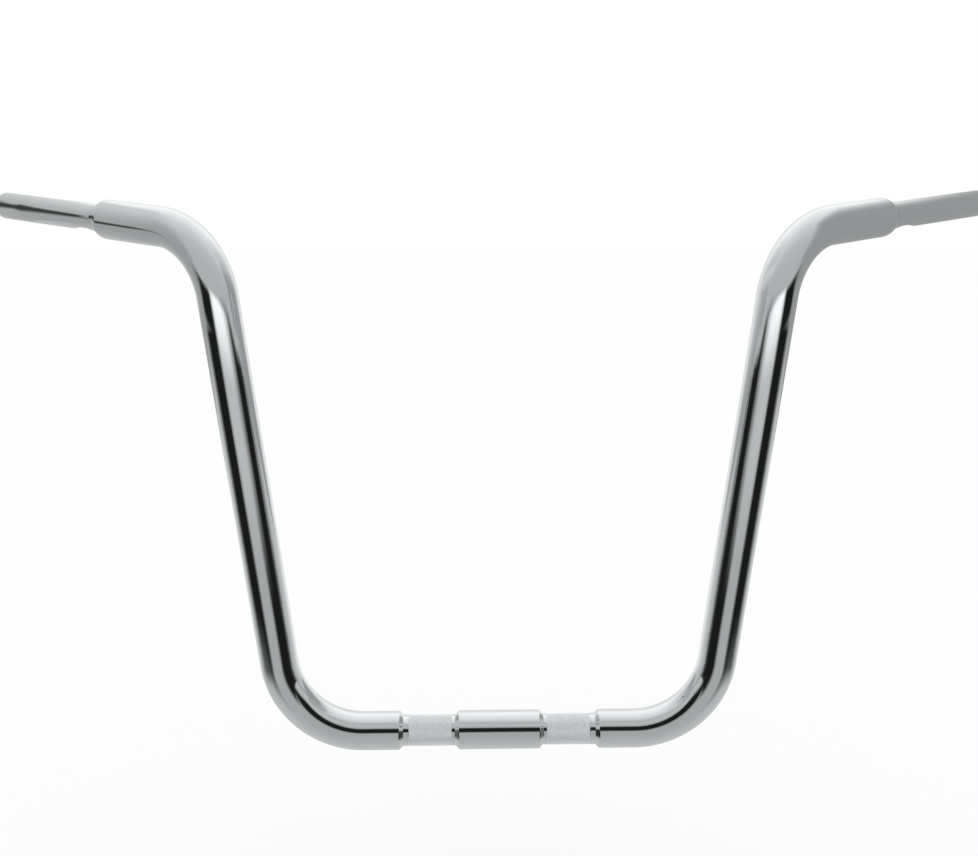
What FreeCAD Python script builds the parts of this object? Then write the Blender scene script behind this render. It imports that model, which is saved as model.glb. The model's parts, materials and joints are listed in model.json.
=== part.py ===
"""Ape hanger handlebar: one length of fat steel tube, swaged, bent and pressed.

The tube lies along X where the risers clamp it, +Z is up, the rider sits at +Y and the
origin is the middle of the clamped section. Only the right half is drawn, and the left
half is its mirror image. A half is a solid skin with a bore cut out of it, and each of
the two is drawn as a pair of runs:

lower run: the clamped middle, the first bend and the upright, in the bar's own frame
upper run: the second bend, the shoulder and the grip end, in a frame that stands on top
of the upright, with its Z along the upright and its X in the plane of the second bend
"""

import FreeCAD, Part
import os
import re
import Sketcher

DRIVING_SIZES = (
    ("tube_diameter", 31.75, "fat tube, outside"),
    ("tube_wall", 2.5, "wall of the fat tube"),
    ("clamp_diameter", 25.4, "swaged bands that the risers hold"),
    ("clamp_wall", 2.9, "wall under the riser clamps"),
    ("grip_diameter", 22.2, "swaged ends that carry the grips"),
    ("grip_wall", 2.6, "wall of the grip ends"),
    ("centre_length", 67.0, "fat section between the two clamp bands"),
    ("clamp_length", 43.0, "each clamp band, from shoulder foot to shoulder foot"),
    ("clamp_slope", 45.0, "degrees, shoulders beside a clamp band"),
    ("clamp_edge_rounding", 2.0, "rounding of the fat edges beside a clamp band"),
    ("base_half_length", 112.5, "middle of the bar to the start of the first bend"),
    ("lower_bend_radius", 69.0, "first bend, on the centre line"),
    ("upright_lean", 6.7, "degrees, outward lean of each upright"),
    ("upright_length", 301.5, "straight part of each upright"),
    ("upper_bend_radius", 60.0, "second bend, on the centre line"),
    ("upper_bend_turn", 78.8, "degrees, turn of the second bend"),
    ("pullback_turn", 31.5, "degrees, turn of the second bend's plane to the rider"),
    ("upper_straight_length", 59.5, "fat tube between the second bend and the shoulder"),
    ("grip_slope", 28.0, "degrees, shoulder in front of the grip"),
    ("grip_edge_rounding", 12.0, "rounding of the fat edge in front of the grip"),
    ("grip_foot_rounding", 3.0, "rounding of the foot of that shoulder"),
    ("grip_length", 116.0, "grip end, from the foot of its shoulder"),
    ("end_bevel", 0.8, "bevel of the open end, outside"),
    ("dimple_depth", 3.7, "depth of the wiring dimple at its floor"),
    ("dimple_setback", 2.4, "foot of the shoulder to the start of the dimple"),
    ("dimple_lead_in", 1.0, "length of the punch in front of the dimple"),
    ("dimple_ramp_length", 19.0, "gentle slope down to the floor of the dimple"),
    ("dimple_end_radius", 20.0, "round end of the dimple, along the tube"),
    ("dimple_cross_radius", 9.0, "radius of the dimple, across the tube"),
)

CLAMP_SHOULDER = "((tube_diameter - clamp_diameter) / 2 / tan(clamp_slope))"
GRIP_SHOULDER = "((tube_diameter - grip_diameter) / 2 / tan(grip_slope))"
BEND_END_X = "(base_half_length + lower_bend_radius * cos(upright_lean))"
BEND_END_Z = "(lower_bend_radius * (1 - sin(upright_lean)))"
UPRIGHT_TOP_X = f"({BEND_END_X} + upright_length * sin(upright_lean))"
UPRIGHT_TOP_Z = f"({BEND_END_Z} + upright_length * cos(upright_lean))"
TURN_END_X = "(upper_bend_radius * (1 - cos(upper_bend_turn)))"
TURN_END_Z = "(upper_bend_radius * sin(upper_bend_turn))"
DIMPLE_DROP = "(grip_diameter / 2 - dimple_depth + dimple_cross_radius)"
UPPER_FRAME = (
    f"placement(vector({UPRIGHT_TOP_X}; 0; {UPRIGHT_TOP_Z});"
    " rotation(vector(0; 1; 0); upright_lean) * rotation(vector(0; 0; 1); pullback_turn))"
)
SAME_RADIUS = 1e-4
RIM_SIZE = {"Fillet": "Radius", "Chamfer": "Size"}


class Layer:
    """Radii of the outer skin, or of the bore that lies one wall inside it."""

    def __init__(self, name, tube_wall, clamp_wall, grip_wall):
        self.name = name
        self.tube = f"(tube_diameter / 2 - {tube_wall})"
        self.clamp = f"(clamp_diameter / 2 - {clamp_wall})"
        self.grip = f"(grip_diameter / 2 - {grip_wall})"
        self.clamp_shift = f"({tube_wall} * tan(clamp_slope / 2))"
        self.grip_shift = f"({tube_wall} * tan(grip_slope / 2))"
        self.growth = grip_wall


SKIN = Layer("Skin", "0", "0", "0")
BORE = Layer("Bore", "tube_wall", "clamp_wall", "grip_wall")


def along_grip(distance):
    """Give the place at a distance behind the second bend, in the upper run's frame."""
    return (
        f"({TURN_END_X} + {distance} * sin(upper_bend_turn))",
        f"({TURN_END_Z} + {distance} * cos(upper_bend_turn))",
    )


def make_sheet(doc):
    """Write the driving sizes into a spreadsheet, one alias to a cell."""
    sheet = doc.addObject("Spreadsheet::Sheet", "Sizes")
    for row, (alias, value, meaning) in enumerate(DRIVING_SIZES, start=1):
        sheet.set(f"A{row}", meaning)
        sheet.set(f"B{row}", str(value))
        sheet.setAlias(f"B{row}", alias)
    doc.recompute()


def on_sheet(formula):
    """Turn the size names of a formula into references to the sheet."""
    names = "|".join(alias for alias, value, meaning in DRIVING_SIZES)
    return re.sub(rf"\b({names})\b", r"Sizes.\1", formula)


def value_of(doc, formula):
    """Work out a formula with the sizes as they stand."""
    result = doc.Sizes.evalExpression(on_sheet(formula))
    return float(getattr(result, "Value", result))


def new_sketch(body, name, plane, **offset):
    """Attach an empty sketch to one of the body's own origin planes, moved by formulas."""
    sketch = body.newObject("Sketcher::SketchObject", f"{body.Name}{name}")
    support = next(item for item in body.Origin.OriginFeatures if item.Role == plane)
    sketch.AttachmentSupport = [(support, "")]
    sketch.MapMode = "FlatFace"
    for field, formula in offset.items():
        path = {"across": "Base.x", "up": "Base.y", "out": "Base.z", "turn": "Rotation.Angle"}
        sketch.setExpression(f"AttachmentOffset.{path[field]}", on_sheet(formula))
    return sketch


def spot(doc, corner):
    """Give a corner's place as a vector, with the sizes as they stand."""
    return FreeCAD.Vector(value_of(doc, corner[0]), value_of(doc, corner[1]), 0)


def tie_point(sketch, geometry, point, corner):
    """Tie a point of a sketch to the sheet, across and up from the sketch's origin."""
    for kind, axis, formula in zip(("DistanceX", "DistanceY"), (-2, -1), corner):
        if formula == "0":
            sketch.addConstraint(Sketcher.Constraint("PointOnObject", geometry, point, axis))
        elif formula:
            value = value_of(sketch.Document, formula)
            constraint = Sketcher.Constraint(kind, -1, 1, geometry, point, value)
            index = sketch.addConstraint(constraint)
            sketch.setExpression(f"Constraints[{index}]", on_sheet(formula))


def add_line(sketch, start, end):
    """Draw a straight edge between two corners."""
    doc = sketch.Document
    return sketch.addGeometry(Part.LineSegment(spot(doc, start), spot(doc, end)), False)


def add_outline(sketch, corners):
    """Draw a closed outline of straight edges and tie each of its corners."""
    count = len(corners)
    edges = [add_line(sketch, corners[i], corners[(i + 1) % count]) for i in range(count)]
    for i, edge in enumerate(edges):
        tie_point(sketch, edge, 1, corners[i])
        sketch.addConstraint(Sketcher.Constraint("Coincident", edges[i - 1], 2, edge, 1))


def add_circle(sketch, radius):
    """Draw a circle about the sketch's origin."""
    value = value_of(sketch.Document, radius)
    circle = Part.Circle(FreeCAD.Vector(0, 0, 0), FreeCAD.Vector(0, 0, 1), value)
    geometry = sketch.addGeometry(circle, False)
    sketch.addConstraint(Sketcher.Constraint("Coincident", geometry, 3, -1, 1))
    index = sketch.addConstraint(Sketcher.Constraint("Radius", geometry, value))
    sketch.setExpression(f"Constraints[{index}]", on_sheet(radius))


def add_arc(sketch, centre, radius, first, last):
    """Draw an arc from one angle to another, in degrees, counter-clockwise."""
    doc = sketch.Document
    middle = spot(doc, centre)
    whole = Part.Circle(middle, FreeCAD.Vector(0, 0, 1), value_of(doc, radius))
    angles = [value_of(doc, f"({angle}) * pi / 180") for angle in (first, last)]
    geometry = sketch.addGeometry(Part.ArcOfCircle(whole, *angles), False)
    tie_point(sketch, geometry, 3, centre)
    index = sketch.addConstraint(Sketcher.Constraint("Radius", geometry, whole.Radius))
    sketch.setExpression(f"Constraints[{index}]", on_sheet(radius))
    return geometry


def revolve(body, sketch):
    """Turn a sketch once round its own horizontal axis."""
    turned = body.newObject("PartDesign::Revolution", f"{sketch.Name}Turned")
    turned.Profile = sketch
    turned.ReferenceAxis = (sketch, ["H_Axis"])
    turned.Angle = 360
    body.Document.recompute()
    return turned


def bend(body, plane, radius, die_axis, angle, **offset):
    """Turn the round section about the axis of the bending die."""
    section = new_sketch(body, "Section", plane, **offset)
    add_circle(section, radius)
    axis = add_line(section, *die_axis)
    section.toggleConstruction(axis)
    for point, corner in enumerate(die_axis, start=1):
        tie_point(section, axis, point, corner)
    turned = body.newObject("PartDesign::Revolution", f"{section.Name}Bent")
    turned.Profile = section
    turned.ReferenceAxis = (section, ["Axis0"])
    turned.setExpression("Angle", on_sheet(angle))
    body.Document.recompute()
    return turned


def shape_rim(body, feature, kind, size, rim, place):
    """Fillet or chamfer the circular edge of a given radius that lies nearest to a place."""
    doc = body.Document
    rim_radius = value_of(doc, rim)
    centre = FreeCAD.Vector(*(value_of(doc, formula) for formula in place))
    found = []
    for number, edge in enumerate(feature.Shape.Edges, start=1):
        curve = edge.Curve
        if isinstance(curve, Part.Circle) and abs(curve.Radius - rim_radius) < SAME_RADIUS:
            found.append((curve.Center.distanceToPoint(centre), f"Edge{number}"))
    shaped = body.newObject(f"PartDesign::{kind}", f"{body.Name}{kind}")
    shaped.Base = (feature, [min(found)[1]])
    shaped.setExpression(RIM_SIZE[kind], on_sheet(size))
    doc.recompute()
    return shaped


def lower_run(doc, layer):
    """Draw the clamped middle, the first bend and the upright."""
    body = doc.addObject("PartDesign::Body", f"Lower{layer.name}")
    inner_edge = f"(centre_length / 2 - {layer.clamp_shift})"
    outer_foot = f"(centre_length / 2 + {CLAMP_SHOULDER} + clamp_length + {layer.clamp_shift})"
    outer_edge = f"({outer_foot} + {CLAMP_SHOULDER})"
    base = new_sketch(body, "Base", "XZ_Plane")
    add_outline(base, (
        ("0", "0"),
        ("0", layer.tube),
        (inner_edge, layer.tube),
        (f"{inner_edge} + {CLAMP_SHOULDER}", layer.clamp),
        (outer_foot, layer.clamp),
        (outer_edge, layer.tube),
        ("base_half_length", layer.tube),
        ("base_half_length", "0"),
    ))
    feature = revolve(body, base)
    if layer is SKIN:
        for place in (inner_edge, outer_edge):
            feature = shape_rim(body, feature, "Fillet", "clamp_edge_rounding", layer.tube,
                                (place, "0", "0"))
    die_axis = (("tube_diameter", "lower_bend_radius"), ("0", "lower_bend_radius"))
    bend(body, "YZ_Plane", layer.tube, die_axis, "90 - upright_lean", out="base_half_length")
    upright = new_sketch(body, "Upright", "XZ_Plane", across=BEND_END_X, up=BEND_END_Z,
                         turn="90 - upright_lean")
    add_outline(upright, (
        ("0", "0"),
        ("0", layer.tube),
        ("upright_length", layer.tube),
        ("upright_length", "0"),
    ))
    revolve(body, upright)
    return body


def upper_run(doc, layer):
    """Draw the second bend, the straight behind it, the shoulder and the grip end."""
    body = doc.addObject("PartDesign::Body", f"Upper{layer.name}")
    body.setExpression("Placement", on_sheet(UPPER_FRAME))
    die_axis = (("upper_bend_radius", "0"), ("upper_bend_radius", "tube_diameter"))
    bend(body, "XY_Plane", layer.tube, die_axis, "upper_bend_turn")
    fat_end = f"(upper_straight_length - {layer.grip_shift})"
    foot = f"({fat_end} + {GRIP_SHOULDER})"
    tip = f"(upper_straight_length + {GRIP_SHOULDER} + grip_length)"
    end = new_sketch(body, "End", "XZ_Plane", across=TURN_END_X, up=TURN_END_Z,
                     turn="90 - upper_bend_turn")
    add_outline(end, (
        ("0", "0"),
        ("0", layer.tube),
        (fat_end, layer.tube),
        (foot, layer.grip),
        (tip, layer.grip),
        (tip, "0"),
    ))
    feature = revolve(body, end)
    if layer is SKIN:
        for kind, size, distance, rim in (
            ("Fillet", "grip_edge_rounding", fat_end, layer.tube),
            ("Fillet", "grip_foot_rounding", foot, layer.grip),
            ("Chamfer", "end_bevel", tip, layer.grip),
        ):
            across, up = along_grip(distance)
            feature = shape_rim(body, feature, kind, size, rim, (across, "0", up))
    return body


def dimple_punch(doc, layer):
    """Draw the long-nosed punch that presses the wiring dimple, grown by the wall inside."""
    body = doc.addObject("PartDesign::Body", f"Punch{layer.name}")
    body.setExpression("Placement", on_sheet(UPPER_FRAME))
    foot = along_grip(f"(upper_straight_length + {GRIP_SHOULDER})")
    outline = new_sketch(
        body, "Outline", "XZ_Plane",
        across=f"{foot[0]} + {DIMPLE_DROP} * cos(upper_bend_turn)",
        up=f"{foot[1]} - {DIMPLE_DROP} * sin(upper_bend_turn)",
        turn="90 - upper_bend_turn",
    )
    floor_radius = f"(dimple_cross_radius + {layer.growth})"
    nose_radius = f"(dimple_end_radius + {layer.growth})"
    nose_height = "(dimple_cross_radius - dimple_end_radius)"
    floor_start = "(dimple_setback + dimple_ramp_length)"
    front = "(dimple_setback - dimple_lead_in)"
    front_radius = (
        f"({floor_radius} - dimple_depth * (1 + dimple_lead_in / dimple_ramp_length))"
    )
    nose_turn = f"acos(0 - {nose_height} / {nose_radius})"
    tip = f"({floor_start} + {nose_radius} * sin({nose_turn}))"
    nose = add_arc(outline, (floor_start, nose_height), nose_radius,
                   f"90deg - {nose_turn}", "90")
    tie_point(outline, nose, 2, (floor_start, ""))
    tie_point(outline, nose, 1, ("", "0"))
    corners = ((floor_start, floor_radius), (front, front_radius), (front, "0"), (tip, "0"))
    before = nose
    for start, stop in zip(corners, corners[1:]):
        edge = add_line(outline, start, stop)
        outline.addConstraint(Sketcher.Constraint("Coincident", before, 2, edge, 1))
        before = edge
        if stop is not corners[-1]:
            tie_point(outline, edge, 2, stop)
    outline.addConstraint(Sketcher.Constraint("Coincident", before, 2, nose, 1))
    doc.recompute()
    revolve(body, outline)
    return body


def combine(doc, kind, name, base, tool):
    """Join two shapes, or cut the second out of the first."""
    result = doc.addObject(kind, name)
    result.Base = base
    result.Tool = tool
    result.Refine = True
    doc.recompute()
    return result


def half_layer(doc, layer):
    """Join a layer's two runs and press the dimple into it."""
    bar = combine(doc, "Part::Fuse", f"Half{layer.name}", lower_run(doc, layer),
                  upper_run(doc, layer))
    return combine(doc, "Part::Cut", f"Pressed{layer.name}", bar, dimple_punch(doc, layer))


def make_handlebar(doc):
    """Cut the bore out of the skin and mirror the half tube to the other side."""
    right = combine(doc, "Part::Cut", "RightHalf", half_layer(doc, SKIN), half_layer(doc, BORE))
    left = doc.addObject("Part::Mirroring", "LeftHalf")
    left.Source = right
    left.Normal = FreeCAD.Vector(1, 0, 0)
    doc.recompute()
    bar = combine(doc, "Part::Fuse", "Handlebar", right, left)
    bar.Label = "handlebar"
    return [bar]


def check(doc, parts):
    """Stop if anything in the document failed or a finished shape is not sound."""
    for item in doc.Objects:
        if {"Invalid", "Error"} & set(item.State):
            raise RuntimeError(f"{item.Name} failed: {item.State}")
    for part in parts:
        if part.Shape.isNull() or not part.Shape.isValid() or len(part.Shape.Solids) != 1:
            raise RuntimeError(f"{part.Label} is not one sound solid")


def main():
    """Build the document and write one STEP file for each piece."""
    doc = FreeCAD.newDocument("ApeHangerHandlebar")
    make_sheet(doc)
    parts = make_handlebar(doc)
    doc.recompute()
    check(doc, parts)
    os.makedirs("parts", exist_ok=True)
    for part in parts:
        part.Shape.exportStep(f"parts/{part.Label}.step")


main()
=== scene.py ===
"""Looks of an ape hanger handlebar: one bent, swaged and knurled steel tube with chrome plate.

The tube is laid down ring by ring, as a pen draws, from the middle of the clamped section to
the open grip end and back down the bore, and the left half is its mirror image. Lengths are
millimetres until metres() turns them into Blender's units, and angles are degrees.
"""

import json
import logging
import math
from dataclasses import dataclass, field
from enum import Enum

import bmesh
import bpy
from mathutils import Matrix, Vector

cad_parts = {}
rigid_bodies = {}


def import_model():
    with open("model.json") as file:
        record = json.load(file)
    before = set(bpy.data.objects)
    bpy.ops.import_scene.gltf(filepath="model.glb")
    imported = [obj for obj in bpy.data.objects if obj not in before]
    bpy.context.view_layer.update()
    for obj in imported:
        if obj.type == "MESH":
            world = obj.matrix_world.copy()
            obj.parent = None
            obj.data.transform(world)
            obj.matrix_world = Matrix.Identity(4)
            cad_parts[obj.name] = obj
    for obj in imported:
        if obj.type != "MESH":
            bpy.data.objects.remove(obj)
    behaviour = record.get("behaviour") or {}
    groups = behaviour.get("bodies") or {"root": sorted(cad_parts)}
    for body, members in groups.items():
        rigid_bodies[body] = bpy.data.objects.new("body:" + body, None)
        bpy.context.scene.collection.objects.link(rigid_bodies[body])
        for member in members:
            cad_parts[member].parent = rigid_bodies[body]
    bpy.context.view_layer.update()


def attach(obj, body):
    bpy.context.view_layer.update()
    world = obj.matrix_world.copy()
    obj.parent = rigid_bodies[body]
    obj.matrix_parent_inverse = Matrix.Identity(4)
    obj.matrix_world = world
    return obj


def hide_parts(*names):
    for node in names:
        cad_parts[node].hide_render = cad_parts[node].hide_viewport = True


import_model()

LOG = logging.getLogger("handlebar")
# The photograph's width in pixels, from which the camera's lens is worked out.
IMAGE_WIDTH = 978
# How many corners each ring of the tube has.
AROUND = 144
# How much of the light that falls on it the chrome gives back.
CHROME_SHARE = 0.71


def metres(length: float) -> float:
    """Turn millimetres into metres."""
    return length / 1000


def turned(vector: Vector, axis: Vector, angle: float) -> Vector:
    """Turn a direction about an axis through the origin.

    Args:
        vector: The direction to turn.
        axis: A unit vector.
        angle: Degrees, right-handed about the axis.

    Returns:
        The turned direction.
    """
    return Matrix.Rotation(math.radians(angle), 3, axis) @ vector


def linear_share(level: float) -> float:
    """Turn an sRGB level from 0 to 1 into a share of light, by the standard's own curve."""
    return level / 12.92 if level <= 0.04045 else ((level + 0.055) / 1.055) ** 2.4


def linear_colour(hex_code: str) -> tuple[float, float, float, float]:
    """Turn an sRGB hex colour into Blender's linear values.

    Args:
        hex_code: Six hex digits, such as "c8cccd".

    Returns:
        Red, green, blue and an alpha of 1.
    """
    levels = [int(hex_code[start:start + 2], 16) / 255 for start in (0, 2, 4)]
    return (*map(linear_share, levels), 1.0)


def glow(level: float) -> float:
    """Give the light that shows in the chrome as a grey of this sRGB level, 0 to 255."""
    return linear_share(level / 255) / CHROME_SHARE


def add_node(tree: bpy.types.NodeTree, kind: str, settings: dict | None = None,
             **links: bpy.types.NodeSocket) -> bpy.types.Node:
    """Add one node with its settings and links.

    Args:
        tree: The node tree to add to.
        kind: Blender's name for the node type.
        settings: Properties of the node and values of its inputs, by name or number.
        links: Output sockets to link, by the input's name with underscores for spaces, or by
            its number after an n.

    Returns:
        The new node.
    """
    node = tree.nodes.new(kind)
    for name, value in (settings or {}).items():
        if isinstance(name, str) and hasattr(node, name):
            setattr(node, name, value)
        else:
            node.inputs[name].default_value = value
    for name, socket in links.items():
        key = int(name[1:]) if name[0] == "n" and name[1:].isdigit() else name.replace("_", " ")
        tree.links.new(socket, node.inputs[key])
    return node


def start_material(name: str) -> tuple[bpy.types.Material, bpy.types.NodeTree, bpy.types.Node]:
    """Make a material with nothing in it but its output.

    Args:
        name: The material's name.

    Returns:
        The material, its node tree and its output node.
    """
    material = bpy.data.materials.new(name)
    material.use_nodes = True
    tree = material.node_tree
    tree.nodes.clear()
    return material, tree, add_node(tree, "ShaderNodeOutputMaterial")


def deselect_everything() -> None:
    """Leave edit mode and select no object at all."""
    if bpy.context.object and bpy.context.object.mode != "OBJECT":
        bpy.ops.object.mode_set(mode="OBJECT")
    for item in bpy.context.scene.objects:
        item.select_set(False)


def select_only(piece: bpy.types.Object) -> None:
    """Select one piece and make it the active one.

    Args:
        piece: The piece that the next operators act on.
    """
    deselect_everything()
    piece.select_set(True)
    bpy.context.view_layer.objects.active = piece


def apply_place(piece: bpy.types.Object) -> None:
    """Move a piece's place, turn and scale into its mesh."""
    select_only(piece)
    bpy.ops.object.transform_apply(location=True, rotation=True, scale=True)


@dataclass(frozen=True)
class PolishedChrome:
    """Decorative chrome plate over polished steel: a mirror, a shade cool.

    The polishing mop leaves faint haze in patches, which softens some reflections a little, and
    hand-held buffing leaves the tube a hair uneven, so that straight reflections waver. Its
    lines are finer than a pixel, so they are drawn half a millimetre wide.
    """

    colour: str = "d8dcdd"
    clear: float = 0.03
    hazy: float = 0.075
    haze_size: float = 14.0
    haze_detail: float = 3.0
    haze_range: tuple[float, float] = (0.35, 0.7)
    waver_size: float = 9.0
    waver_detail: float = 1.0
    waver_depth: float = 0.012
    line_size: float = 0.5
    line_detail: float = 2.0
    line_depth: float = 0.0012

    def make(self) -> bpy.types.Material:
        """Make the material.

        Returns:
            The finished material.
        """
        material, tree, output = start_material("polished_chrome_plate")
        place = add_node(tree, "ShaderNodeTexCoord").outputs["Object"]
        haze = add_node(tree, "ShaderNodeTexNoise", {
            "Scale": 1 / metres(self.haze_size), "Detail": self.haze_detail,
        }, Vector=place)
        rough = add_node(tree, "ShaderNodeMapRange", {
            "From Min": self.haze_range[0], "From Max": self.haze_range[1],
            "To Min": self.clear, "To Max": self.hazy,
        }, Value=haze.outputs["Fac"])
        below = {}
        for size, detail, depth in ((self.waver_size, self.waver_detail, self.waver_depth),
                                    (self.line_size, self.line_detail, self.line_depth)):
            noise = add_node(tree, "ShaderNodeTexNoise", {
                "Scale": 1 / metres(size), "Detail": detail,
            }, Vector=place)
            bump = add_node(tree, "ShaderNodeBump", {
                "Strength": 1.0, "Distance": metres(depth),
            }, Height=noise.outputs["Fac"], **below)
            below = {"Normal": bump.outputs["Normal"]}
        shader = add_node(tree, "ShaderNodeBsdfPrincipled", {
            "Base Color": linear_colour(self.colour), "Metallic": 1.0,
        }, Roughness=rough.outputs["Result"], **below)
        tree.links.new(shader.outputs["BSDF"], output.inputs["Surface"])
        return material


@dataclass(frozen=True)
class KnurledChrome:
    """Chrome plate over a rolled knurl: the tops are bright and the grooves plate dull.

    The eye gets a pale, matt and slightly grainy band. The real grain is finer than a pixel, so
    it is drawn about two and a half millimetres wide.
    """

    top_colour: str = "eff2f3"
    groove_colour: str = "e4e8ea"
    colour_range: tuple[float, float] = (0.36, 0.64)
    metallic: float = 0.6
    bright: float = 0.34
    dull: float = 0.55
    rough_range: tuple[float, float] = (0.3, 0.7)
    grain_size: float = 2.4
    grain_detail: float = 4.0
    grain_mix: float = 0.6
    grain_depth: float = 0.06

    def make(self) -> bpy.types.Material:
        """Make the material.

        Returns:
            The finished material.
        """
        material, tree, output = start_material("knurled_chrome_plate")
        place = add_node(tree, "ShaderNodeTexCoord").outputs["Object"]
        grain = add_node(tree, "ShaderNodeTexNoise", {
            "Scale": 1 / metres(self.grain_size), "Detail": self.grain_detail,
            "Roughness": self.grain_mix,
        }, Vector=place).outputs["Fac"]
        share = add_node(tree, "ShaderNodeMapRange", {
            "From Min": self.colour_range[0], "From Max": self.colour_range[1],
        }, Value=grain)
        tint = add_node(tree, "ShaderNodeMix", {
            "data_type": "RGBA",
            6: linear_colour(self.groove_colour),
            7: linear_colour(self.top_colour),
        }, n0=share.outputs["Result"])
        rough = add_node(tree, "ShaderNodeMapRange", {
            "From Min": self.rough_range[0], "From Max": self.rough_range[1],
            "To Min": self.dull, "To Max": self.bright,
        }, Value=grain)
        bump = add_node(tree, "ShaderNodeBump", {
            "Strength": 1.0, "Distance": metres(self.grain_depth),
        }, Height=grain)
        shader = add_node(tree, "ShaderNodeBsdfPrincipled", {"Metallic": self.metallic},
                          Base_Color=tint.outputs[2], Roughness=rough.outputs["Result"],
                          Normal=bump.outputs["Normal"])
        tree.links.new(shader.outputs["BSDF"], output.inputs["Surface"])
        return material


class Skin(Enum):
    """The two surfaces of the tube's wall, by the names of their vertex groups."""

    OUTSIDE = "outside"
    BORE = "bore"


@dataclass(frozen=True)
class Station:
    """A ring of the tube: how far along its run, and how wide."""

    distance: float
    radius: float


@dataclass
class RingPen:
    """Lays the tube down ring by ring in edit mode, from the place where it stands.

    The ring that was laid last is the one that is selected.
    """

    place: Vector
    ahead: Vector
    radius: float

    def start(self, name: str) -> bpy.types.Object:
        """Add the first ring and go into edit mode.

        Args:
            name: The piece's name.

        Returns:
            The new object, in edit mode, with the ring selected.
        """
        deselect_everything()
        turn = self.ahead.to_track_quat("Z", "Y").to_euler()
        bpy.ops.mesh.primitive_circle_add(vertices=AROUND, radius=metres(self.radius),
                                          location=self.place, rotation=turn)
        piece = bpy.context.object
        piece.name = name
        piece.data.name = name
        bpy.ops.object.transform_apply(location=True, rotation=True, scale=True)
        bpy.ops.object.mode_set(mode="EDIT")
        bpy.ops.mesh.select_mode(type="EDGE")
        bpy.ops.mesh.select_all(action="SELECT")
        return piece

    def resize(self, radius: float) -> None:
        """Widen or narrow the ring.

        Args:
            radius: Its new radius.
        """
        share = radius / self.radius
        if not math.isclose(share, 1):
            bpy.ops.transform.resize(value=(share, share, share), center_override=self.place)
        self.radius = radius

    def straight(self, stations: list[Station], start: float = 0.0) -> None:
        """Extrude along a straight run.

        Args:
            stations: The rings to lay, in order along the run.
            start: The pen's own distance along the run.
        """
        before = start
        for station in stations:
            step = self.ahead * metres(abs(station.distance - before))
            bpy.ops.mesh.extrude_region_move(TRANSFORM_OT_translate={"value": step})
            self.place = self.place + step
            self.resize(station.radius)
            before = station.distance

    def bend(self, toward: Vector, radius: float, angle: float, steps: int) -> Vector:
        """Spin round the axis of the bending die.

        Args:
            toward: The unit vector from the pen to the die's axis.
            radius: The bend's radius on the centre line.
            angle: Its turn in degrees.
            steps: How many rings it gets.

        Returns:
            The unit vector to the die's axis as it stands at the end of the bend.
        """
        centre = self.place + toward * metres(radius)
        axis = self.ahead.cross(toward).normalized()
        # The spin operator turns left-handed about its axis.
        bpy.ops.mesh.spin(steps=steps, angle=math.radians(angle), center=centre, axis=-axis)
        self.ahead = turned(self.ahead, axis, angle)
        end_toward = turned(toward, axis, angle)
        self.place = centre - end_toward * metres(radius)
        return end_toward


def rounded_corner(before: Station, corner: Station, after: Station, radius: float,
                   steps: int) -> list[Station]:
    """Replace a corner of the tube's profile by an arc that touches both of its sides.

    Args:
        before: A point of the profile in front of the corner.
        corner: The corner itself.
        after: A point of the profile behind it.
        radius: The arc's radius.
        steps: How many pieces the arc has.

    Returns:
        The arc's points in order.
    """
    middle = Vector((corner.distance, corner.radius))
    first = (Vector((before.distance, before.radius)) - middle).normalized()
    second = (Vector((after.distance, after.radius)) - middle).normalized()
    half = first.angle(second) / 2
    reach = radius / math.tan(half)
    centre = middle + (first + second).normalized() * (radius / math.sin(half))
    start = middle + first * reach - centre
    end = middle + second * reach - centre
    sweep = start.angle(end)
    points = []
    for step in range(steps + 1):
        share = step / steps
        mix = start * math.sin((1 - share) * sweep) + end * math.sin(share * sweep)
        point = centre + mix / math.sin(sweep)
        points.append(Station(point.x, point.y))
    return points


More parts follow.
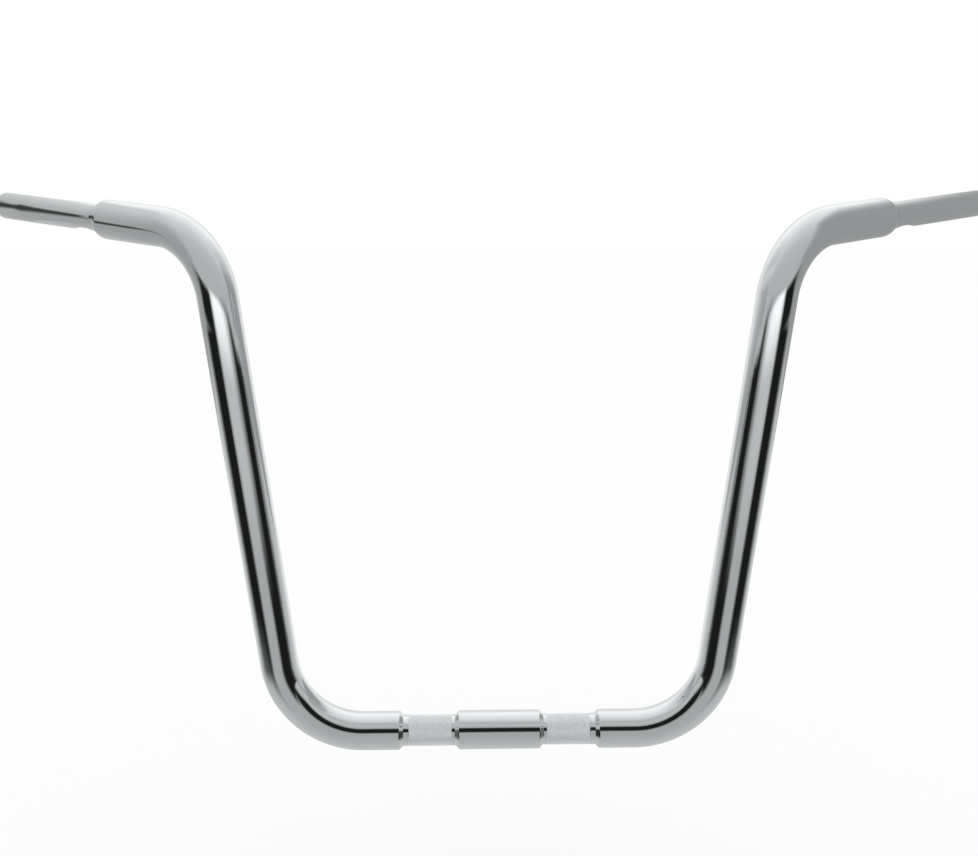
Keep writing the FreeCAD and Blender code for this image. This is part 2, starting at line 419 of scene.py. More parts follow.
@dataclass
class KnurledBand:
    """The rolled diamond pattern that keeps the bar from turning in its clamps.

    Its rings start at the bottom of the grooves. Every other point is raised, and the faces are
    split along the grooves. The bore lies within the skin limit.
    """

    start: float = 39.5
    length: float = 35.4
    run_out: float = 0.25
    top_radius: float = 12.7
    groove_depth: float = 0.24
    pitch: float = 1.106
    skin_limit: float = 11.0
    edge_margin: float = 0.1

    def rows(self) -> int:
        """Give the number of rows of diamonds, counted twice for each pitch."""
        return 2 * round(self.length / self.pitch)

    def stations(self) -> list[Station]:
        """Lay out the band's rings between two plain ones.

        Returns:
            The rings in order, away from the middle of the bar.
        """
        low = self.top_radius - self.groove_depth
        count = self.rows()
        band = [Station(self.start + self.length * row / count, low) for row in range(count + 1)]
        return [Station(self.start - self.run_out, self.top_radius), *band,
                Station(self.start + self.length + self.run_out, self.top_radius)]

    def holds(self, point: Vector, margin: float) -> bool:
        """Tell whether a point lies on the band's skin.

        Args:
            point: A point of the tube's mesh, in metres.
            margin: How far inside the band's ends it has to be.

        Returns:
            True on the skin between the ends.
        """
        first = metres(self.start + margin)
        last = metres(self.start + self.length - margin)
        return first < point.x < last and point.yz.length > metres(self.skin_limit)

    def place_in_grid(self, point: Vector) -> tuple[int, int]:
        """Find a point of the band in its grid.

        Args:
            point: A point of the tube's mesh, in metres.

        Returns:
            The point's row along the band and its column round it.
        """
        row = (point.x * 1000 - self.start) / self.length * self.rows()
        column = math.atan2(point.z, point.y) / math.tau * AROUND
        return round(row), round(column)

    def press(self, piece: bpy.types.Object) -> None:
        """Raise every other point of the band's grid and split its faces along the grooves.

        Args:
            piece: The tube's right half, in edit mode, still straight down to the band.
        """
        bpy.ops.mesh.select_mode(type="VERT")
        bpy.ops.mesh.select_all(action="DESELECT")
        cage = bmesh.from_edit_mesh(piece.data)
        for vertex in cage.verts:
            if self.holds(vertex.co, self.edge_margin):
                vertex.select_set(sum(self.place_in_grid(vertex.co)) % 2 == 0)
        cage.select_flush_mode()
        bmesh.update_edit_mesh(piece.data)
        rise = self.top_radius / (self.top_radius - self.groove_depth)
        bpy.ops.transform.resize(value=(1, rise, rise), center_override=(0, 0, 0))
        for method, remainder in (("FIXED", 1), ("FIXED_ALTERNATE", 0)):
            self.select_faces(piece, remainder)
            bpy.ops.mesh.quads_convert_to_tris(quad_method=method, ngon_method="BEAUTY")

    def select_faces(self, piece: bpy.types.Object, remainder: int | None = None) -> None:
        """Select the band's faces.

        Args:
            piece: The tube's right half, in edit mode.
            remainder: Only four-sided faces whose first corner is raised (0) or low (1).
        """
        bpy.ops.mesh.select_mode(type="FACE")
        bpy.ops.mesh.select_all(action="DESELECT")
        cage = bmesh.from_edit_mesh(piece.data)
        for face in cage.faces:
            if not self.holds(face.calc_center_median(), 0.0):
                continue
            if remainder is None:
                face.select_set(True)
            elif len(face.verts) == 4:
                corner = sum(self.place_in_grid(face.verts[0].co)) % 2
                face.select_set(corner == remainder)
        bmesh.update_edit_mesh(piece.data)


@dataclass(frozen=True)
class GripEnd:
    """Where a grip end starts: its shoulder's foot on the tube's axis, and its directions."""

    foot: Vector
    ahead: Vector
    dented_side: Vector
    radius: float
    wall: float

    def place_of(self, point: Vector) -> tuple[float, float]:
        """Find a point's place by the grip end.

        Args:
            point: A point of the tube's mesh, in metres.

        Returns:
            How far along the grip end it is and how far from its axis, in millimetres.
        """
        offset = point - self.foot
        along = offset.dot(self.ahead)
        return along * 1000, (offset - self.ahead * along).length * 1000


@dataclass
class WiringDimple:
    """The long dent behind the shoulder of a grip end, where switch wires pass a clamp.

    A round punch presses it, with a ramp down from the shoulder, a level floor and a long nose.
    The same punch, grown by the wall, presses the bore. The skin is settled a little afterwards,
    as pressed edges are.
    """

    depth: float = 4.3
    setback: float = 0.4
    lead_in: float = 1.0
    ramp_length: float = 7.0
    floor_length: float = 12.0
    nose_radius: float = 20.0
    nose_steps: int = 12
    cross_radius: float = 20.0
    first_ring: float = 1.2
    ringed_length: float = 32.86
    skin_steps: int = 62
    bore_start: float = 37.0
    bore_spacing: float = 1.6
    bore_count: int = 23
    pressed_run: tuple[float, float] = (0.5, 45.0)
    pressed_radius: float = 14.0
    settle_share: float = 0.5
    settle_rounds: int = 3

    def skin_rings(self, foot: float, radius: float) -> list[Station]:
        """Lay out the close rings of the skin.

        Args:
            foot: How far along its run the shoulder's foot is.
            radius: The skin's radius.

        Returns:
            The rings in order, away from the shoulder.
        """
        first = foot + self.first_ring
        return [Station(first + self.ringed_length * step / self.skin_steps, radius)
                for step in range(self.skin_steps + 1)]

    def bore_rings(self, foot: float, radius: float) -> list[Station]:
        """Lay out the close rings of the bore.

        Args:
            foot: How far along its run the foot of the bore's shoulder is.
            radius: The bore's radius.

        Returns:
            The rings in order, towards the shoulder.
        """
        return [Station(foot + self.bore_start - step * self.bore_spacing, radius)
                for step in range(self.bore_count)]

    def punch(self, grip: GripEnd, wall: float, name: str) -> bpy.types.Object:
        """Turn the punch that presses the dent.

        Args:
            grip: The grip end.
            wall: Thickness between the skin and the surface to press.
            name: The punch's name.

        Returns:
            The punch, open only at the very tip of its nose.
        """
        floor_radius = self.cross_radius + wall
        nose_radius = self.nose_radius + wall
        front = self.setback - self.lead_in
        floor_start = self.setback + self.ramp_length
        floor_end = floor_start + self.floor_length
        slope = self.depth / self.ramp_length
        drop = grip.radius - self.depth + self.cross_radius
        place = grip.foot + grip.dented_side * metres(drop) + grip.ahead * metres(front)
        front_radius = floor_radius - self.depth - slope * self.lead_in
        pen = RingPen(place, grip.ahead.copy(), front_radius)
        piece = pen.start(name)
        bpy.ops.mesh.edge_face_add()
        pen.straight([Station(floor_start, floor_radius), Station(floor_end, floor_radius)],
                     start=front)
        nose_height = self.cross_radius - self.nose_radius
        last = math.acos(-nose_height / nose_radius)
        angles = [last * step / (self.nose_steps + 0.5) for step in range(1, self.nose_steps + 1)]
        pen.straight([Station(floor_end + nose_radius * math.sin(angle),
                              nose_height + nose_radius * math.cos(angle))
                      for angle in angles], start=floor_end)
        bpy.ops.mesh.select_mode(type="FACE")
        bpy.ops.mesh.select_all(action="SELECT")
        bpy.ops.mesh.normals_make_consistent(inside=False)
        bpy.ops.object.mode_set(mode="OBJECT")
        return piece

    def press(self, half: bpy.types.Object, grip: GripEnd) -> None:
        """Press the skin and the bore behind it.

        Args:
            half: The tube's right half, in object mode.
            grip: Its grip end.
        """
        members: dict[Skin, list[int]] = {skin: [] for skin in Skin}
        first, last = self.pressed_run
        for vertex in half.data.vertices:
            along, away = grip.place_of(vertex.co)
            if first < along < last and away < self.pressed_radius:
                skin = Skin.OUTSIDE if away > grip.radius - grip.wall / 2 else Skin.BORE
                members[skin].append(vertex.index)
        for skin, wall in ((Skin.OUTSIDE, 0.0), (Skin.BORE, grip.wall)):
            punch = self.punch(grip, wall, f"punch_{skin.value}")
            group = half.vertex_groups.new(name=skin.value)
            group.add(members[skin], 1.0, "REPLACE")
            select_only(half)
            press = half.modifiers.new("press", "SHRINKWRAP")
            press.target = punch
            press.vertex_group = group.name
            press.wrap_method = "NEAREST_SURFACEPOINT"
            press.wrap_mode = "OUTSIDE"
            bpy.ops.object.modifier_apply(modifier=press.name)
            bpy.data.objects.remove(punch, do_unlink=True)
        settle = half.modifiers.new("settle", "SMOOTH")
        settle.vertex_group = Skin.OUTSIDE.value
        settle.factor = self.settle_share
        settle.iterations = self.settle_rounds
        bpy.ops.object.modifier_apply(modifier=settle.name)


@dataclass
class HandlebarTube:
    """The whole handlebar: one tube, swaged, knurled, bent, pressed and plated.

    A field that ends in ring is the place of a plain ring that keeps the faces beside it short.
    """

    tube_radius: float = 15.875
    clamp_radius: float = 12.7
    grip_radius: float = 11.1
    tube_wall: float = 2.5
    clamp_wall: float = 2.9
    grip_wall: float = 2.6
    centre_half: float = 33.5
    centre_ring: float = 16.0
    clamp_length: float = 43.0
    clamp_slope: float = 45.0
    clamp_rounding: float = 2.0
    clamp_foot_rounding: float = 0.8
    base_half: float = 112.5
    base_ring: float = 101.675
    lower_bend_radius: float = 69.0
    upright_lean: float = 6.7
    upright_length: float = 301.5
    upright_parts: int = 4
    upper_bend_radius: float = 60.0
    upper_bend_turn: float = 78.8
    pullback_turn: float = 31.5
    upper_straight: float = 59.5
    swage_ring: float = 25.0
    shoulder_slope: float = 28.0
    shoulder_rounding: float = 12.0
    shoulder_foot_rounding: float = 3.0
    grip_length: float = 116.0
    grip_ring: float = 74.0
    end_bevel: float = 0.8
    bend_steps: int = 34
    bore_bend_steps: int = 20
    shoulder_steps: int = 10
    edge_steps: int = 6
    foot_steps: int = 4
    mirror_gap: float = 0.001
    merge_gap: float = 0.002
    smooth_angle: float = 24.0
    knurl: KnurledBand = field(default_factory=KnurledBand)
    dimple: WiringDimple = field(default_factory=WiringDimple)

    def clamp_cone(self) -> float:
        """Give the length of the cone at either side of a clamp band."""
        return (self.tube_radius - self.clamp_radius) / math.tan(math.radians(self.clamp_slope))

    def shoulder_length(self) -> float:
        """Give the length of the shoulder in front of a grip end."""
        return (self.tube_radius - self.grip_radius) / math.tan(math.radians(self.shoulder_slope))

    def clamp_profile(self) -> list[Station]:
        """Lay out the outside of the clamped section.

        Returns:
            Its rings in order, from the middle to the first bend.
        """
        start = Station(0, self.tube_radius)
        edge = Station(self.centre_half, self.tube_radius)
        foot = Station(edge.distance + self.clamp_cone(), self.clamp_radius)
        far_foot = Station(foot.distance + self.clamp_length, self.clamp_radius)
        far_edge = Station(far_foot.distance + self.clamp_cone(), self.tube_radius)
        end = Station(self.base_half, self.tube_radius)
        edge_arc = (self.clamp_rounding, self.edge_steps)
        foot_arc = (self.clamp_foot_rounding, self.foot_steps)
        return [
            Station(self.centre_ring, self.tube_radius),
            *rounded_corner(start, edge, foot, *edge_arc),
            *rounded_corner(edge, foot, far_foot, *foot_arc),
            *self.knurl.stations(),
            *rounded_corner(foot, far_foot, far_edge, *foot_arc),
            *rounded_corner(far_foot, far_edge, end, *edge_arc),
            Station(self.base_ring, self.tube_radius),
            end,
        ]

    def grip_profile(self) -> list[Station]:
        """Lay out the outside from the second bend on.

        Returns:
            Its rings in order, to the open end and round its edge to the bore.
        """
        start = Station(0, self.tube_radius)
        edge = Station(self.upper_straight, self.tube_radius)
        foot = Station(edge.distance + self.shoulder_length(), self.grip_radius)
        end = Station(foot.distance + self.grip_length, self.grip_radius)
        rim = Station(end.distance, self.grip_radius - self.grip_wall)
        return [
            Station(self.swage_ring, self.tube_radius),
            *rounded_corner(start, edge, foot, self.shoulder_rounding, self.shoulder_steps),
            *rounded_corner(edge, foot, end, self.shoulder_foot_rounding, self.edge_steps),
            *self.dimple.skin_rings(foot.distance, self.grip_radius),
            Station(foot.distance + self.grip_ring, self.grip_radius),
            *rounded_corner(foot, end, rim, self.end_bevel, self.foot_steps),
            rim,
        ]

    def build(self) -> bpy.types.Object:
        """Lay the right half down, outside and bore, press it and mirror it.

        Returns:
            The finished handlebar, at the origin, unturned and unscaled.
        """
        pen = RingPen(Vector((0, 0, 0)), Vector((1, 0, 0)), self.tube_radius)
        half = pen.start("handlebar_tube")
        pen.straight(self.clamp_profile())
        lower_die = pen.bend(Vector((0, 0, 1)), self.lower_bend_radius,
                             90 - self.upright_lean, self.bend_steps)
        part = self.upright_length / self.upright_parts
        pen.straight([Station(part * (step + 1), self.tube_radius)
                      for step in range(self.upright_parts)])
        outward = Vector((pen.ahead.z, 0, -pen.ahead.x))
        upper_die = pen.bend(turned(outward, pen.ahead, self.pullback_turn),
                             self.upper_bend_radius, self.upper_bend_turn, self.bend_steps)
        foot = pen.place + pen.ahead * metres(self.upper_straight + self.shoulder_length())
        grip = GripEnd(foot, pen.ahead.copy(), upper_die, self.grip_radius, self.grip_wall)
        pen.straight(self.grip_profile())
        self.lay_bore(pen, upper_die, lower_die)
        bpy.ops.object.mode_set(mode="OBJECT")
        self.dimple.press(half, grip)
        self.plate(half)
        self.mirror(half)
        return half

    def lay_bore(self, pen: RingPen, upper_die: Vector, lower_die: Vector) -> None:
        """Go back down the inside of the tube, from the open end to the middle.

        Args:
            pen: The pen, standing at the open end.
            upper_die: From the tube's axis to the second bend's die, at that bend's end.
            lower_die: From the tube's axis to the first bend's die, at that bend's end.
        """
        shoulder = self.shoulder_length()
        length = self.upper_straight + shoulder + self.grip_length
        bore = self.tube_radius - self.tube_wall
        grip_bore = self.grip_radius - self.grip_wall
        shift = self.tube_wall * math.tan(math.radians(self.shoulder_slope / 2))
        foot = self.upper_straight + shoulder - shift
        pen.ahead = -pen.ahead
        pen.straight([*self.dimple.bore_rings(foot, grip_bore), Station(foot, grip_bore),
                      Station(foot - shoulder, bore), Station(0, bore)], start=length)
        pen.bend(upper_die, self.upper_bend_radius, self.upper_bend_turn, self.bore_bend_steps)
        pen.straight([Station(0, bore)], start=self.upright_length)
        pen.bend(lower_die, self.lower_bend_radius, 90 - self.upright_lean, self.bore_bend_steps)
        clamp_bore = self.clamp_radius - self.clamp_wall
        shift = self.tube_wall * math.tan(math.radians(self.clamp_slope / 2))
        edge = self.centre_half - shift
        far_foot = self.centre_half + self.clamp_cone() + self.clamp_length + shift
        pen.straight([
            Station(far_foot + self.clamp_cone(), bore),
            Station(far_foot, clamp_bore),
            Station(edge + self.clamp_cone(), clamp_bore),
            Station(edge, bore),
            Station(0, bore),
        ], start=self.base_half)

    def plate(self, half: bpy.types.Object) -> None:
        """Roll the knurl, plate the tube and give the knurl's faces the second slot.

        Args:
            half: The tube's right half.
        """
        bpy.context.view_layer.objects.active = half
        half.data.materials.append(PolishedChrome().make())
        half.data.materials.append(KnurledChrome().make())
        bpy.ops.object.mode_set(mode="EDIT")
        self.knurl.press(half)
        self.knurl.select_faces(half)
        half.active_material_index = 1
        bpy.ops.object.material_slot_assign()
        bpy.ops.object.mode_set(mode="OBJECT")

    def mirror(self, half: bpy.types.Object) -> None:
        """Add the left half, merge the two in the middle and turn every face outward.

        Args:
            half: The tube's right half, which becomes the whole tube.
        """
        copy = half.modifiers.new("left half", "MIRROR")
        copy.use_clip = True
        copy.merge_threshold = metres(self.mirror_gap)
        bpy.ops.object.modifier_apply(modifier=copy.name)
        bpy.ops.object.mode_set(mode="EDIT")
        bpy.ops.mesh.select_all(action="SELECT")
        bpy.ops.mesh.remove_doubles(threshold=metres(self.merge_gap))
        bpy.ops.mesh.normals_make_consistent(inside=False)
        bpy.ops.object.mode_set(mode="OBJECT")
        bpy.ops.object.shade_smooth_by_angle(angle=math.radians(self.smooth_angle))
        half.vertex_groups.clear()

    def fit_to_frame(self, tube: bpy.types.Object) -> None:
        """Let the tube stand for the solid handlebar of the frame.

        Args:
            tube: The finished handlebar.
        """
        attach(tube, "root")
        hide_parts("handlebar")


def soft_window(tree: bpy.types.NodeTree,
                edges: list[tuple[bpy.types.NodeSocket, float, float]]) -> bpy.types.NodeSocket:
    """Fade from 0 to 1 across each edge and multiply the fades.

    Args:
        tree: The node tree to add to.
        edges: A coordinate, the value where it is 0 and the value where it is 1, for each edge.

    Returns:
        The share of the window, 1 well inside all of its edges.
    """
    share = None
    for coordinate, nothing, full in edges:
        fade = add_node(tree, "ShaderNodeMapRange", {
            "interpolation_type": "SMOOTHSTEP", "From Min": nothing, "From Max": full,
        }, Value=coordinate).outputs["Result"]
        if share is None:
            share = fade
        else:
            share = add_node(tree, "ShaderNodeMath", {"operation": "MULTIPLY"},
                             n0=share, n1=fade).outputs[0]
    return share


def show_in_metal_only(piece: bpy.types.Object) -> None:
    """Let a card or tent be seen in reflections, and neither light nor hide anything else.

    Args:
        piece: The card or tent.
    """
    piece.visible_camera = False
    piece.visible_diffuse = False
    piece.visible_shadow = False
    piece.visible_transmission = False
    piece.visible_volume_scatter = False


@dataclass(frozen=True)
class ClothBand:
    """The lower or upper part of the tent's cloth.

    The stops give its levels from the camera's side, at 0, to the far side, at 1. They turn into
    the side level from side_start on, up to 1 straight left or right of the bar.
    """

    stops: tuple[tuple[float, float], ...]
    side_level: float
    side_start: float

    def light(self, tree: bpy.types.NodeTree, depth: bpy.types.NodeSocket,
              side: bpy.types.NodeSocket) -> bpy.types.NodeSocket:
        """Work out the band's light by direction.

        Args:
            tree: The cloth's node tree.
            depth: 0 towards the camera and 1 away from it.
            side: 0 in the middle and 1 straight left or right.

        Returns:
            The light that the band gives.
        """
        ramp = add_node(tree, "ShaderNodeValToRGB", Fac=depth)
        knots = ramp.color_ramp.elements
        while len(knots) < len(self.stops):
            knots.new(0.5)
        for knot, (position, level) in zip(knots, self.stops):
            grey = linear_share(level / 255)
            knot.position = position
            knot.color = (grey, grey, grey, 1)
        level = add_node(tree, "ShaderNodeMath", {"operation": "DIVIDE", 1: CHROME_SHARE},
                         n0=ramp.outputs["Color"]).outputs[0]
        share = soft_window(tree, [(side, self.side_start, 1.0)])
        return add_node(tree, "ShaderNodeMix", {3: glow(self.side_level)},
                        n0=share, n2=level).outputs[0]


@dataclass(frozen=True)
class LightTent:
    """The cloth of a product tent all round the bar, lit softly, with its dark openings.

    Its levels are those that the chrome shows. The dark arch crosses over the camera and gives
    the line along the clamped section; the dark sides give the two lines down each upright.
    Heights are parts of the radius, and turns count from the camera's side. A pair is where an
    opening isn't dark yet and where it is all dark.
    """

    radius: float = 30000.0
    segments: int = 48
    rings: int = 24
    lower: ClothBand = ClothBand(((0.0, 163), (0.3, 178), (0.65, 188), (1.0, 168)), 172, 0.6)
    upper: ClothBand = ClothBand(((0.0, 165), (0.12, 172), (0.35, 202), (0.6, 224),
                                  (0.85, 246), (1.0, 206)), 180, 0.3)
    seam_half: float = 0.02
    dark: float = 26
    arch_tilt: tuple[float, float, float] = (0.0, 0.56, 0.828)
    arch_height: float = -0.19
    arch_half: float = 0.14
    arch_fade: float = 0.16
    arch_turn: tuple[float, float] = (68.0, 50.0)
    side_front: tuple[float, float] = (16.0, 36.0)
    side_back: tuple[float, float] = (110.0, 72.0)
    side_bottom: tuple[float, float] = (-0.63, -0.40)
    side_top: tuple[float, float] = (0.055, 0.015)

    def build(self) -> None:
        """Blow the tent up round the bar as one stage piece."""
        deselect_everything()
        bpy.ops.mesh.primitive_uv_sphere_add(segments=self.segments, ring_count=self.rings,
                                             radius=metres(self.radius))
        tent = bpy.context.object
        tent.name = "light_tent"
        tent.data.materials.append(self.cloth())
        show_in_metal_only(tent)
        LOG.info("%s is up", tent.name)

    def cloth(self) -> bpy.types.Material:
        """Paint the cloth's levels by direction.

        Returns:
            A material that only gives light.
        """
        material, tree, output = start_material("tent_cloth")
        place = add_node(tree, "ShaderNodeTexCoord").outputs["Object"]
        way = add_node(tree, "ShaderNodeVectorMath", {"operation": "NORMALIZE"},
                       n0=place).outputs["Vector"]
        axes = add_node(tree, "ShaderNodeSeparateXYZ", Vector=way).outputs
        side = add_node(tree, "ShaderNodeMath", {"operation": "ABSOLUTE"}, n0=axes["X"]).outputs[0]
        front = add_node(tree, "ShaderNodeMath", {"operation": "MULTIPLY", 1: -1.0},
                         n0=axes["Y"]).outputs[0]
        depth = add_node(tree, "ShaderNodeMapRange", {"From Min": -1.0, "From Max": 1.0},
                         Value=axes["Y"]).outputs["Result"]
        turn = add_node(tree, "ShaderNodeMath", {"operation": "ARCTAN2"}, n0=side,
                        n1=front).outputs[0]
        arch = add_node(tree, "ShaderNodeVectorMath", {
            "operation": "DOT_PRODUCT", 1: self.arch_tilt,
        }, n0=way).outputs["Value"]
        above = soft_window(tree, [(arch, self.arch_height - self.seam_half,
                                    self.arch_height + self.seam_half)])
        light = add_node(tree, "ShaderNodeMix", n0=above,
                         n2=self.lower.light(tree, depth, side),
                         n3=self.upper.light(tree, depth, side)).outputs[0]
        far = self.arch_half + self.arch_fade
        openings = (
            [(arch, self.arch_height - far, self.arch_height - self.arch_half),
             (arch, self.arch_height + far, self.arch_height + self.arch_half),
             (turn, *map(math.radians, self.arch_turn))],
            [(turn, *map(math.radians, self.side_front)),
             (turn, *map(math.radians, self.side_back)),
             (axes["Z"], *self.side_bottom),
             (axes["Z"], *self.side_top)],
        )
        for edges in openings:
            light = add_node(tree, "ShaderNodeMix", {3: glow(self.dark)},
                             n0=soft_window(tree, edges), n2=light).outputs[0]
        cloth = add_node(tree, "ShaderNodeEmission", Strength=light)
        tree.links.new(cloth.outputs[0], output.inputs["Surface"])
        material.cycles.emission_sampling = "NONE"
        return material


class Facing(Enum):
    """How a card stands: the axes across it, along it and up it, and its turn in degrees."""

    ACROSS_Y = ("YXZ", (90, 0, 0))
    ACROSS_X = ("XYZ", (90, 0, 90))
    LEVEL = ("ZXY", (0, 0, 0))


@dataclass(frozen=True)
class SoftCard:
    """A card beside the camera or the bar, with soft edges, that shows in the chrome.

    Its place is where it stands on the axis across it. Each edge is given by where it fades to
    nothing and where the card is full. A slope tilts the lower and upper edges, and a lean tilts
    the other two. The first level turns into the second from where the card starts to brighten,
    its lower edge unless given, to its top.
    """

    name: str
    facing: Facing
    place: float
    near_edge: tuple[float, float]
    far_edge: tuple[float, float]
    bottom: tuple[float, float]
    top: tuple[float, float]
    levels: tuple[float, float]
    mirrored: bool = False
    slope: float = 0.0
    lean: float = 0.0
    lean_room: float = 1.4
    one_sided: bool = False
    brightens_from: float | None = None

    def build(self) -> None:
        """Hang the card up as a stage piece."""
        tilt = abs(self.lean * self.top[0]) * self.lean_room
        end = max(self.near_edge[0], self.far_edge[0]) + tilt
        start = -end if self.mirrored else min(self.near_edge[0], self.far_edge[0])
        rises = (0, self.slope * start, self.slope * end)
        low = self.bottom[0] + min(rises)
        high = self.top[0] + max(rises)
        letters, turn = self.facing.value
        across, along, up = ("XYZ".index(letter) for letter in letters)
        middle = Vector((0, 0, 0))
        middle[across] = metres(self.place)
        middle[along] = metres((start + end) / 2)
        middle[up] = metres((low + high) / 2)
        deselect_everything()
        bpy.ops.mesh.primitive_plane_add(size=1, location=middle,
                                         rotation=[math.radians(angle) for angle in turn])
        card = bpy.context.object
        card.name = self.name
        card.scale = (metres(end - start), metres(high - low), 1)
        apply_place(card)
        card.data.materials.append(self.paper())
        show_in_metal_only(card)
        LOG.info("%s hangs", card.name)

    def paper(self) -> bpy.types.Material:
        """Make the card's lit paper, clear beyond its soft edges.

        Returns:
            A material that gives light inside the card's edges only.
        """
        material, tree, output = start_material(self.name)
        place = add_node(tree, "ShaderNodeTexCoord").outputs["Object"]
        axes = add_node(tree, "ShaderNodeSeparateXYZ", Vector=place).outputs
        letters, _ = self.facing.value
        along, up = axes[letters[1]], axes[letters[2]]
        if self.mirrored:
            along = add_node(tree, "ShaderNodeMath", {"operation": "ABSOLUTE"}, n0=along).outputs[0]
        height = add_node(tree, "ShaderNodeMath", {
            "operation": "MULTIPLY_ADD", 1: -self.slope}, n0=along, n2=up).outputs[0]
        width = add_node(tree, "ShaderNodeMath", {
            "operation": "MULTIPLY_ADD", 1: -self.lean}, n0=up, n2=along).outputs[0]
        edges = [(width, *self.near_edge), (width, *self.far_edge),
                 (height, *self.bottom), (height, *self.top)]
        share = soft_window(tree, [(socket, metres(nothing), metres(full))
                                   for socket, nothing, full in edges])
        if self.one_sided:
            back = add_node(tree, "ShaderNodeNewGeometry").outputs["Backfacing"]
            share = add_node(tree, "ShaderNodeMath", {
                "operation": "SUBTRACT", "use_clamp": True}, n0=share, n1=back).outputs[0]
        low, high = map(glow, self.levels)
        lit = add_node(tree, "ShaderNodeEmission", {"Strength": low})
        if low != high:
            start = self.bottom[1] if self.brightens_from is None else self.brightens_from
            light = add_node(tree, "ShaderNodeMapRange", {
                "interpolation_type": "SMOOTHSTEP", "To Min": low, "To Max": high,
                "From Min": metres(start), "From Max": metres(self.top[1]),
            }, Value=height)
            tree.links.new(light.outputs["Result"], lit.inputs["Strength"])
        clear = add_node(tree, "ShaderNodeBsdfTransparent")
        mix = add_node(tree, "ShaderNodeMixShader", n0=share, n1=clear.outputs[0],
                       n2=lit.outputs[0])
        tree.links.new(mix.outputs[0], output.inputs["Surface"])
        material.cycles.emission_sampling = "NONE"
        return material


CARDS = (
    SoftCard("pale_reflectors", Facing.ACROSS_Y, -60,
             near_edge=(100, 165), far_edge=(208, 184), bottom=(60, 200), top=(316, 304),
             levels=(184, 250), mirrored=True, slope=0.24, lean=0.117, brightens_from=232),
    SoftCard("grey_front_ceiling", Facing.ACROSS_Y, -250,
             near_edge=(-1000, -800), far_edge=(1000, 800), bottom=(345, 385),
             top=(2000, 1100), levels=(174, 200)),
    SoftCard("grey_right_card", Facing.ACROSS_X, 500,
             near_edge=(-270, -130), far_edge=(800, 500), bottom=(262, 325), top=(960, 560),
             levels=(146, 148), slope=-0.5),
    SoftCard("grey_left_card", Facing.ACROSS_X, -500,
             near_edge=(-270, -130), far_edge=(800, 500), bottom=(262, 325), top=(950, 760),
             levels=(153, 200), slope=-0.5),
    SoftCard("dark_strip_by_shoulder", Facing.ACROSS_X, -446,
             near_edge=(-25, -5), far_edge=(42, 30), bottom=(362, 380), top=(406, 388),
             levels=(60, 60), slope=0.65),
    SoftCard("dark_strip_by_grip", Facing.ACROSS_X, -450,
             near_edge=(30, 42), far_edge=(102, 92), bottom=(395, 422), top=(450, 434),
             levels=(60, 60), slope=0.12),
    SoftCard("dark_strip_by_grip_end", Facing.ACROSS_X, -454,
             near_edge=(76, 86), far_edge=(190, 150), bottom=(409, 421), top=(441, 428),
             levels=(60, 60), slope=0.12),
    SoftCard("grey_under_left_grip", Facing.LEVEL, 330,
             near_edge=(-1100, -900), far_edge=(-235, -290), bottom=(-60, 0), top=(900, 200),
             levels=(152, 180), one_sided=True),
    SoftCard("grey_under_right_grip", Facing.LEVEL, 330,
             near_edge=(235, 290), far_edge=(1100, 900), bottom=(-60, 0), top=(1000, 700),
             levels=(146, 152), one_sided=True),
)


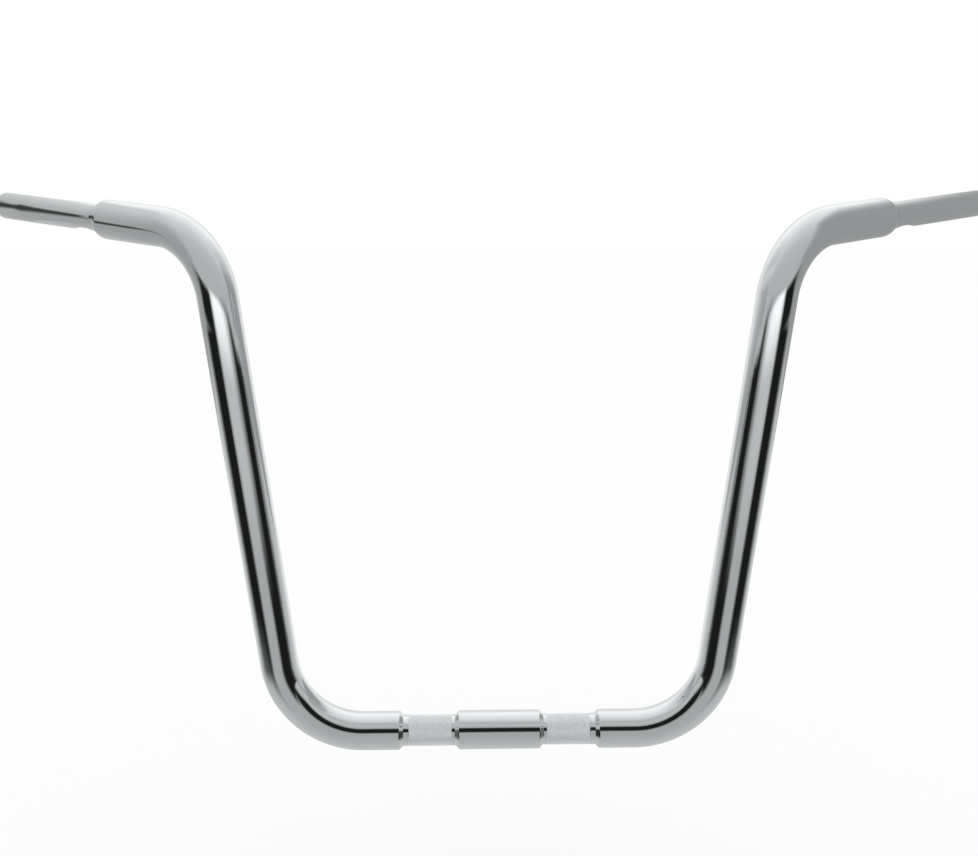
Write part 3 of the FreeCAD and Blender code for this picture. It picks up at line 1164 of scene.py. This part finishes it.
@dataclass
class Studio:
    """A white paper floor in soft white light, inside a tent that the metal mirrors."""

    floor_height: float = -160.0
    floor_size: float = 40000.0
    floor_colour: str = "fefefe"
    light_strength: float = 1.0

    def build(self) -> None:
        """Lay the floor, light the scene and hang what the metal mirrors."""
        deselect_everything()
        bpy.ops.mesh.primitive_plane_add(size=metres(self.floor_size),
                                         location=(0, 0, metres(self.floor_height)))
        floor = bpy.context.object
        floor.name = "floor"
        apply_place(floor)
        floor.data.materials.append(self.paper())
        floor.visible_glossy = False
        LOG.info("%s is laid", floor.name)
        world = bpy.data.worlds.new("soft_white_light")
        world.use_nodes = True
        tree = world.node_tree
        tree.nodes.clear()
        light = add_node(tree, "ShaderNodeBackground", {
            "Color": (1, 1, 1, 1), "Strength": self.light_strength,
        })
        add_node(tree, "ShaderNodeOutputWorld", Surface=light.outputs[0])
        bpy.context.scene.world = world
        LightTent().build()
        for card in CARDS:
            card.build()

    def paper(self) -> bpy.types.Material:
        """Make the floor's matt white paper, which shows nothing but soft shadows.

        Returns:
            The finished material.
        """
        material, tree, output = start_material("white_paper_floor")
        paper = add_node(tree, "ShaderNodeBsdfDiffuse", {"Color": linear_colour(self.floor_colour)})
        tree.links.new(paper.outputs[0], output.inputs["Surface"])
        return material


@dataclass(frozen=True)
class ProductCamera:
    """The photograph's view: a little above the bar, straight on, from about a metre.

    The bar's origin lies across, up and at a distance, seen from the turned camera.
    """

    distance: float = 900.0
    across: float = 8.427
    up: float = -252.121
    roll: float = -0.153
    pitch: float = 11.019
    yaw: float = 0.899
    focal_pixels: float = 1075.309
    sensor: float = 36.0
    clip_start: float = 10.0
    clip_end: float = 100000.0

    def build(self) -> None:
        """Add the camera and make it the scene's own."""
        turn = (Matrix.Rotation(math.radians(self.roll), 3, "Y")
                @ Matrix.Rotation(math.radians(self.pitch), 3, "X")
                @ Matrix.Rotation(math.radians(self.yaw), 3, "Z"))
        origin = Vector((metres(self.across), metres(self.distance), metres(self.up)))
        back = turn.transposed()
        look = back @ Matrix.Rotation(math.radians(90), 3, "X")
        data = bpy.data.cameras.new("product_camera")
        data.sensor_fit = "HORIZONTAL"
        data.sensor_width = self.sensor
        data.lens = self.sensor * self.focal_pixels / IMAGE_WIDTH
        data.dof.use_dof = False
        data.clip_start = metres(self.clip_start)
        data.clip_end = metres(self.clip_end)
        camera = bpy.data.objects.new("product_camera", data)
        camera.matrix_world = Matrix.Translation(-(back @ origin)) @ look.to_4x4()
        bpy.context.collection.objects.link(camera)
        bpy.context.scene.camera = camera
        LOG.info("%s is in place", camera.name)


def main() -> None:
    """Build the handlebar, the studio and the camera, in that order."""
    logging.basicConfig(level=logging.INFO, format="%(name)s: %(message)s")
    bar = HandlebarTube()
    tube = bar.build()
    bar.fit_to_frame(tube)
    LOG.info("%s has %d faces", tube.name, len(tube.data.polygons))
    Studio().build()
    ProductCamera().build()
    bpy.context.scene.view_settings.view_transform = "Standard"


if __name__ == "__main__":
    main()
